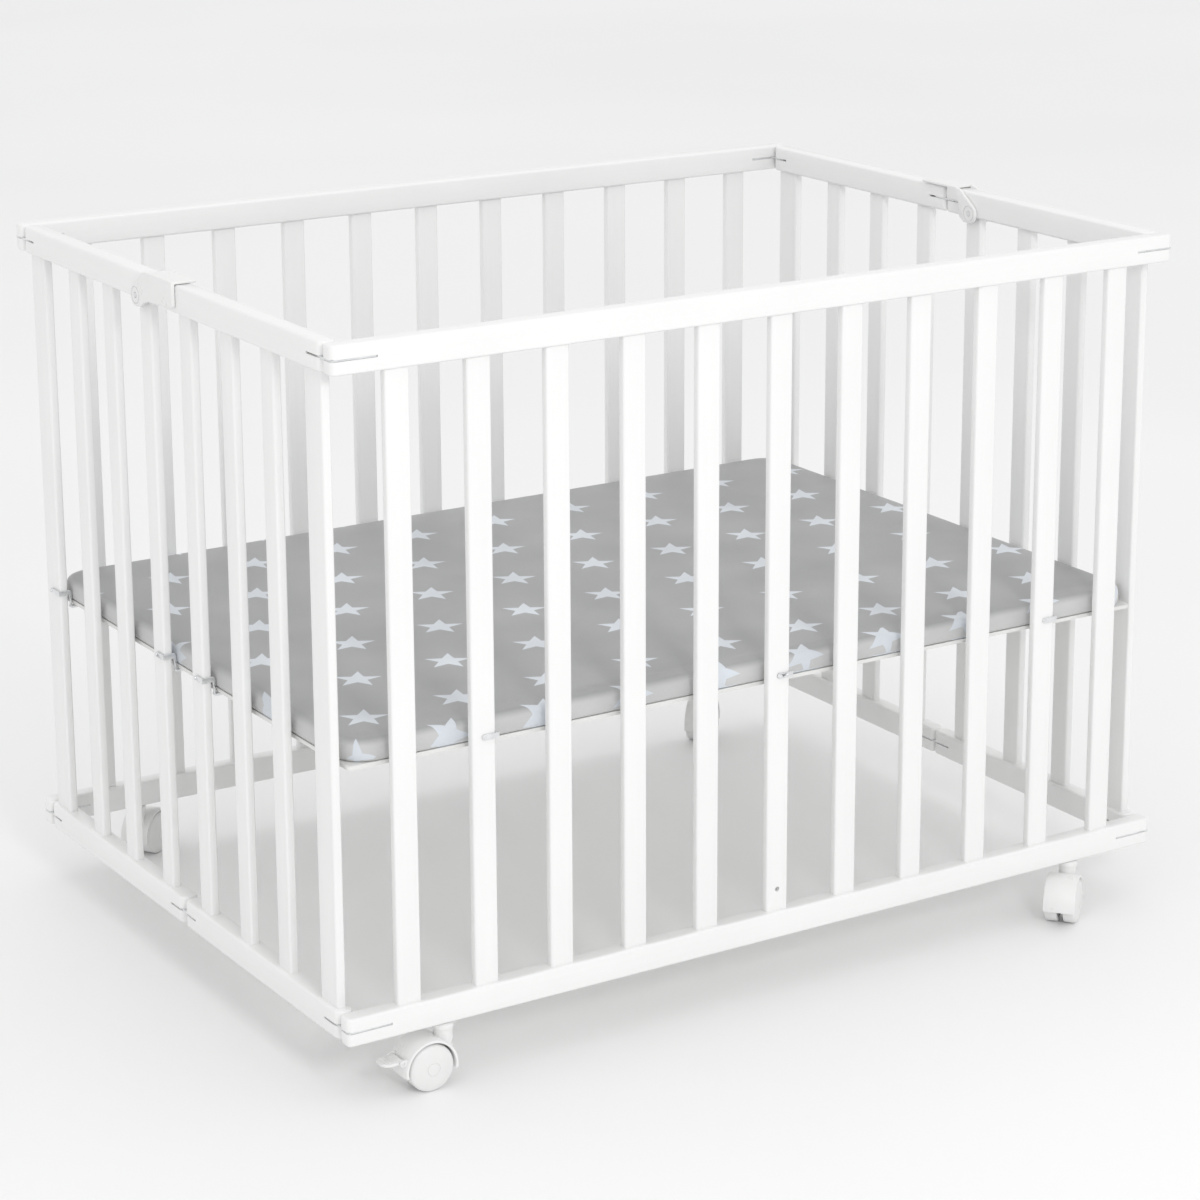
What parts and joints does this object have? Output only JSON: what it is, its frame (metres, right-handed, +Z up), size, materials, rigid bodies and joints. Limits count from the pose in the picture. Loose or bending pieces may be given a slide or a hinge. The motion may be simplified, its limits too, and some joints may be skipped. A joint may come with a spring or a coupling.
{
  "type": "playpen",
  "caption": "Rectangular slatted wooden playpen on castors, with a raised padded floor, folding short sides and latch caps.",
  "frame": {"origin": "on the ground under the middle of the frame", "axes": "+X along the length to the right, +Y to the back panel, +Z up"},
  "size_m": [1.0486, 0.8363, 0.7815],
  "materials": {
    "painted_wood": "white satin lacquer",
    "board": "white coated hardboard",
    "mat_cloth": "grey printed cotton",
    "zinc_steel": "zinc plated",
    "white_plastic": "moulded white plastic",
    "wheel_plastic": "moulded white plastic"
  },
  "bodies": {
    "back_panel": {"back_top_rail": "painted_wood", "back_slat_grid": "painted_wood", "corner_plate_back_left_top": "zinc_steel", "corner_plate_back_left_bottom": "zinc_steel", "corner_plate_back_right_top": "zinc_steel", "corner_plate_back_right_bottom": "zinc_steel", "hook_back_1": "zinc_steel", "hook_back_2": "zinc_steel", "hook_back_3": "zinc_steel"},
    "front_panel": {"front_top_rail": "painted_wood", "front_slat_grid": "painted_wood", "corner_plate_front_left_top": "zinc_steel", "corner_plate_front_left_bottom": "zinc_steel", "corner_plate_front_right_top": "zinc_steel", "corner_plate_front_right_bottom": "zinc_steel", "hook_front_1": "zinc_steel", "hook_front_2": "zinc_steel", "hook_front_3": "zinc_steel"},
    "left_rear_half": {"left_rear_top_rail": "painted_wood", "left_rear_slat_grid": "painted_wood", "latch_bolt_left": "zinc_steel", "hook_left_1": "zinc_steel", "hook_left_2": "zinc_steel"},
    "left_front_half": {"left_front_top_rail": "painted_wood", "left_front_slat_grid": "painted_wood", "hook_left_3": "zinc_steel"},
    "right_front_half": {"right_front_top_rail": "painted_wood", "right_front_slat_grid": "painted_wood", "latch_bolt_right": "zinc_steel", "hook_right_1": "zinc_steel", "hook_right_2": "zinc_steel"},
    "right_rear_half": {"right_rear_top_rail": "painted_wood", "right_rear_slat_grid": "painted_wood", "hook_right_3": "zinc_steel"},
    "left_link": {"link_plate_left_top": "zinc_steel", "link_plate_left_bottom": "zinc_steel"},
    "right_link": {"link_plate_right_top": "zinc_steel", "link_plate_right_bottom": "zinc_steel"},
    "left_latch": {"latch_cap_left": "white_plastic"},
    "right_latch": {"latch_cap_right": "white_plastic"},
    "floor_rear": {"floor_board_rear": "board", "mattress_rear": "mat_cloth", "floor_hinge_pin_left": "zinc_steel", "floor_hinge_pin_right": "zinc_steel"},
    "floor_front": {"floor_board_front": "board", "mattress_front": "mat_cloth"},
    "castor_front_left": {"castor_hood_front_left": "white_plastic"},
    "wheel_front_left_left": {"castor_wheel_front_left_left": "wheel_plastic"},
    "wheel_front_left_right": {"castor_wheel_front_left_right": "wheel_plastic"},
    "brake_front_left": {"brake_lever_front_left": "white_plastic"},
    "castor_front_right": {"castor_hood_front_right": "white_plastic"},
    "wheel_front_right_left": {"castor_wheel_front_right_left": "wheel_plastic"},
    "wheel_front_right_right": {"castor_wheel_front_right_right": "wheel_plastic"},
    "castor_rear_right": {"castor_hood_rear_right": "white_plastic"},
    "wheel_rear_right_left": {"castor_wheel_rear_right_left": "wheel_plastic"},
    "wheel_rear_right_right": {"castor_wheel_rear_right_right": "wheel_plastic"},
    "castor_rear_left": {"castor_hood_rear_left": "white_plastic"},
    "wheel_rear_left_left": {"castor_wheel_rear_left_left": "wheel_plastic"},
    "wheel_rear_left_right": {"castor_wheel_rear_left_right": "wheel_plastic"},
    "brake_rear_left": {"brake_lever_rear_left": "white_plastic"}
  },
  "joints": [
    {"name": "left_rear_fold", "type": "hinge", "parent": "back_panel", "child": "left_rear_half", "pos_m": [-0.51, 0.349, 0.422], "axis": [0, 0, -1], "range_deg": [0, 90]},
    {"name": "left_link_fold", "type": "hinge", "parent": "left_rear_half", "child": "left_link", "pos_m": [-0.51, 0.02, 0.422], "axis": [0, 0, 1], "range_deg": [0, 90]},
    {"name": "left_front_fold", "type": "hinge", "parent": "left_link", "child": "left_front_half", "pos_m": [-0.51, -0.02, 0.422], "axis": [0, 0, 1], "range_deg": [0, 90]},
    {"name": "front_panel_fold", "type": "hinge", "parent": "left_front_half", "child": "front_panel", "pos_m": [-0.51, -0.349, 0.422], "axis": [0, 0, -1], "range_deg": [0, 90]},
    {"name": "right_rear_fold", "type": "hinge", "parent": "back_panel", "child": "right_rear_half", "pos_m": [0.51, 0.349, 0.422], "axis": [0, 0, 1], "range_deg": [0, 90]},
    {"name": "right_link_fold", "type": "hinge", "parent": "right_rear_half", "child": "right_link", "pos_m": [0.51, 0.02, 0.422], "axis": [0, 0, -1], "range_deg": [0, 90]},
    {"name": "right_front_fold", "type": "hinge", "parent": "right_link", "child": "right_front_half", "pos_m": [0.51, -0.02, 0.422], "axis": [0, 0, -1], "range_deg": [0, 90]},
    {"name": "floor_rear_fold", "type": "hinge", "parent": "back_panel", "child": "floor_rear", "pos_m": [0, 0.329, 0.3425], "axis": [-1, 0, 0], "range_deg": [0, 90]},
    {"name": "floor_front_fold", "type": "hinge", "parent": "floor_rear", "child": "floor_front", "pos_m": [0, 0, 0.3425], "axis": [1, 0, 0], "range_deg": [0, 180]},
    {"name": "left_latch_turn", "type": "hinge", "parent": "left_rear_half", "child": "left_latch", "pos_m": [-0.51, 0.05, 0.753], "axis": [-1, 0, 0], "range_deg": [0, 90]},
    {"name": "right_latch_turn", "type": "hinge", "parent": "right_front_half", "child": "right_latch", "pos_m": [0.51, -0.05, 0.753], "axis": [1, 0, 0], "range_deg": [0, 90]},
    {"name": "castor_front_left_swivel", "type": "hinge", "parent": "front_panel", "child": "castor_front_left", "pos_m": [-0.408, -0.371, 0.033], "axis": [0, 0, 1], "continuous": true},
    {"name": "wheel_front_left_left_spin", "type": "hinge", "parent": "castor_front_left", "child": "wheel_front_left_left", "pos_m": [-0.43, -0.371, 0.025], "axis": [0, -1, 0], "continuous": true},
    {"name": "wheel_front_left_right_spin", "type": "hinge", "parent": "castor_front_left", "child": "wheel_front_left_right", "pos_m": [-0.43, -0.371, 0.025], "axis": [0, -1, 0], "continuous": true},
    {"name": "brake_front_left_press", "type": "hinge", "parent": "castor_front_left", "child": "brake_front_left", "pos_m": [-0.46137, -0.371, 0.03645], "axis": [0, -1, 0], "range_deg": [0, 14], "stiffness_Nm_per_rad": 0.02},
    {"name": "castor_front_right_swivel", "type": "hinge", "parent": "front_panel", "child": "castor_front_right", "pos_m": [0.408, -0.371, 0.033], "axis": [0, 0, 1], "continuous": true},
    {"name": "wheel_front_right_left_spin", "type": "hinge", "parent": "castor_front_right", "child": "wheel_front_right_left", "pos_m": [0.39115, -0.38514, 0.025], "axis": [0.6428, -0.766, 0], "continuous": true},
    {"name": "wheel_front_right_right_spin", "type": "hinge", "parent": "castor_front_right", "child": "wheel_front_right_right", "pos_m": [0.39115, -0.38514, 0.025], "axis": [0.6428, -0.766, 0], "continuous": true},
    {"name": "castor_rear_right_swivel", "type": "hinge", "parent": "back_panel", "child": "castor_rear_right", "pos_m": [0.408, 0.371, 0.033], "axis": [0, 0, 1], "continuous": true},
    {"name": "wheel_rear_right_left_spin", "type": "hinge", "parent": "castor_rear_right", "child": "wheel_rear_right_left", "pos_m": [0.39244, 0.35544, 0.025], "axis": [0.7071, -0.7071, 0], "continuous": true},
    {"name": "wheel_rear_right_right_spin", "type": "hinge", "parent": "castor_rear_right", "child": "wheel_rear_right_right", "pos_m": [0.39244, 0.35544, 0.025], "axis": [0.7071, -0.7071, 0], "continuous": true},
    {"name": "castor_rear_left_swivel", "type": "hinge", "parent": "back_panel", "child": "castor_rear_left", "pos_m": [-0.408, 0.371, 0.033], "axis": [0, 0, 1], "continuous": true},
    {"name": "wheel_rear_left_left_spin", "type": "hinge", "parent": "castor_rear_left", "child": "wheel_rear_left_left", "pos_m": [-0.38972, 0.38324, 0.025], "axis": [-0.5563, 0.831, 0], "continuous": true},
    {"name": "wheel_rear_left_right_spin", "type": "hinge", "parent": "castor_rear_left", "child": "wheel_rear_left_right", "pos_m": [-0.38972, 0.38324, 0.025], "axis": [-0.5563, 0.831, 0], "continuous": true},
    {"name": "brake_rear_left_press", "type": "hinge", "parent": "castor_rear_left", "child": "brake_rear_left", "pos_m": [-0.36365, 0.40069, 0.03645], "axis": [-0.5563, 0.831, 0], "range_deg": [0, 14], "stiffness_Nm_per_rad": 0.02}
  ],
  "couplings": [
    {"joint": "left_link_fold", "follows": "left_rear_fold", "ratio": 1},
    {"joint": "left_front_fold", "follows": "left_rear_fold", "ratio": 1},
    {"joint": "front_panel_fold", "follows": "left_rear_fold", "ratio": 1},
    {"joint": "right_rear_fold", "follows": "left_rear_fold", "ratio": 1},
    {"joint": "right_link_fold", "follows": "left_rear_fold", "ratio": 1},
    {"joint": "right_front_fold", "follows": "left_rear_fold", "ratio": 1},
    {"joint": "floor_rear_fold", "follows": "left_rear_fold", "ratio": 1},
    {"joint": "floor_front_fold", "follows": "left_rear_fold", "ratio": 2}
  ]
}
